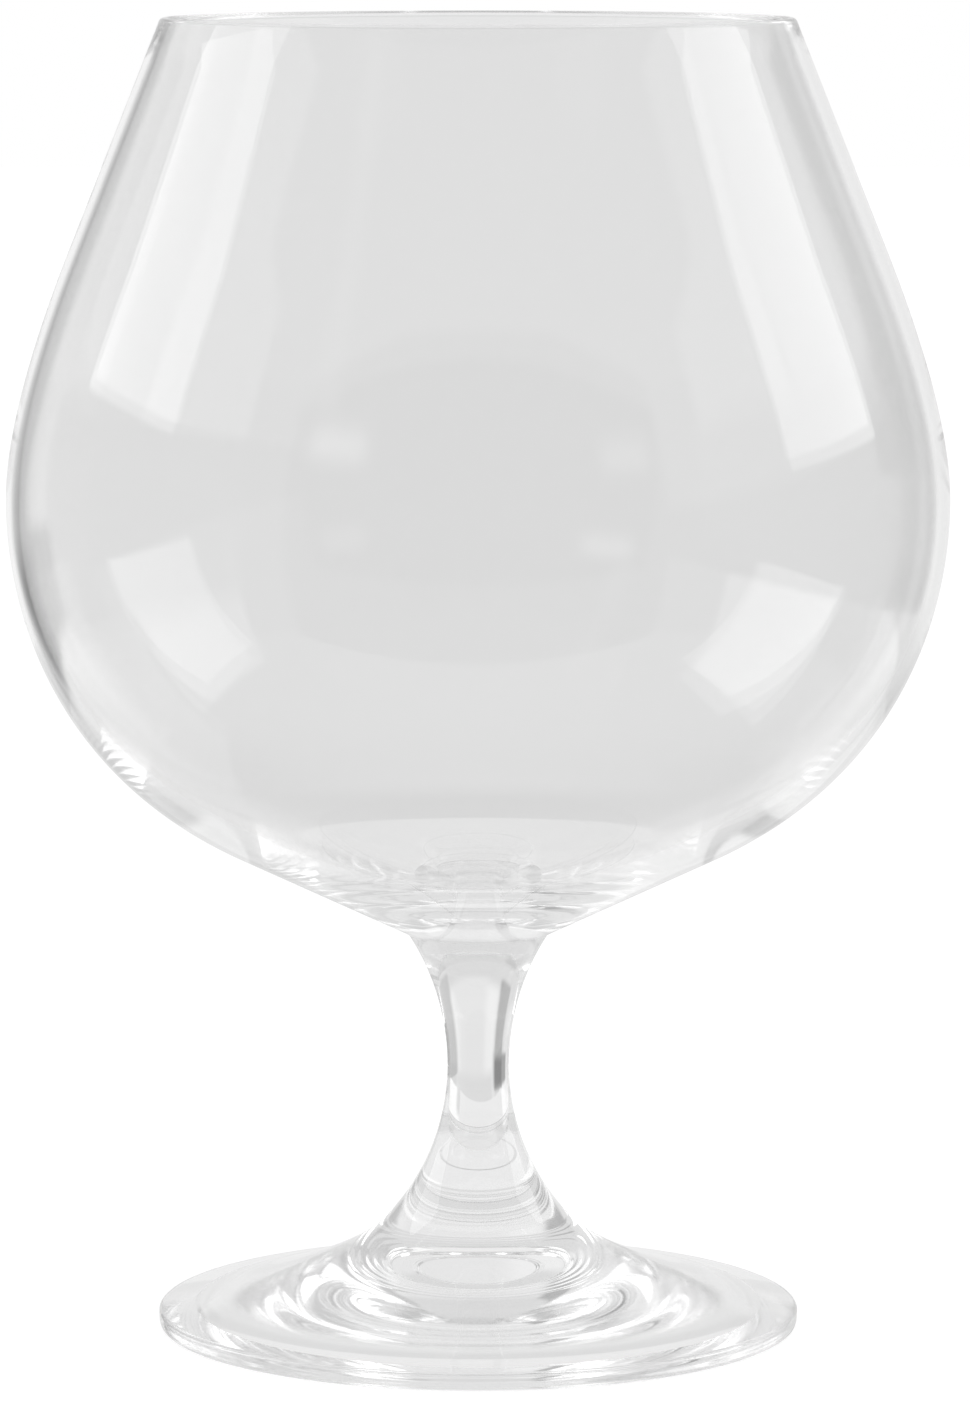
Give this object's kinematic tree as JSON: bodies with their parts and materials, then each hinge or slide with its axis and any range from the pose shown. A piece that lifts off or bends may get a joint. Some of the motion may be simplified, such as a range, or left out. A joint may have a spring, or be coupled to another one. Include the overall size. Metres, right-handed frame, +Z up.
{
  "type": "brandy snifter",
  "caption": "Clear stemmed brandy glass: a wide balloon bowl that narrows to the mouth, on a short waisted stem and a round foot.",
  "frame": {"origin": "middle of the foot, on the plane of the table", "axes": "+Z up along the glass's axis of revolution; the glass is round, so +X and +Y are free"},
  "size_m": [0.109, 0.109, 0.1522],
  "materials": {
    "clear_glass": "fire-polished, clear and colourless"
  },
  "bodies": {
    "root": {"bowl": "clear_glass", "stem": "clear_glass", "foot": "clear_glass"}
  },
  "joints": []
}
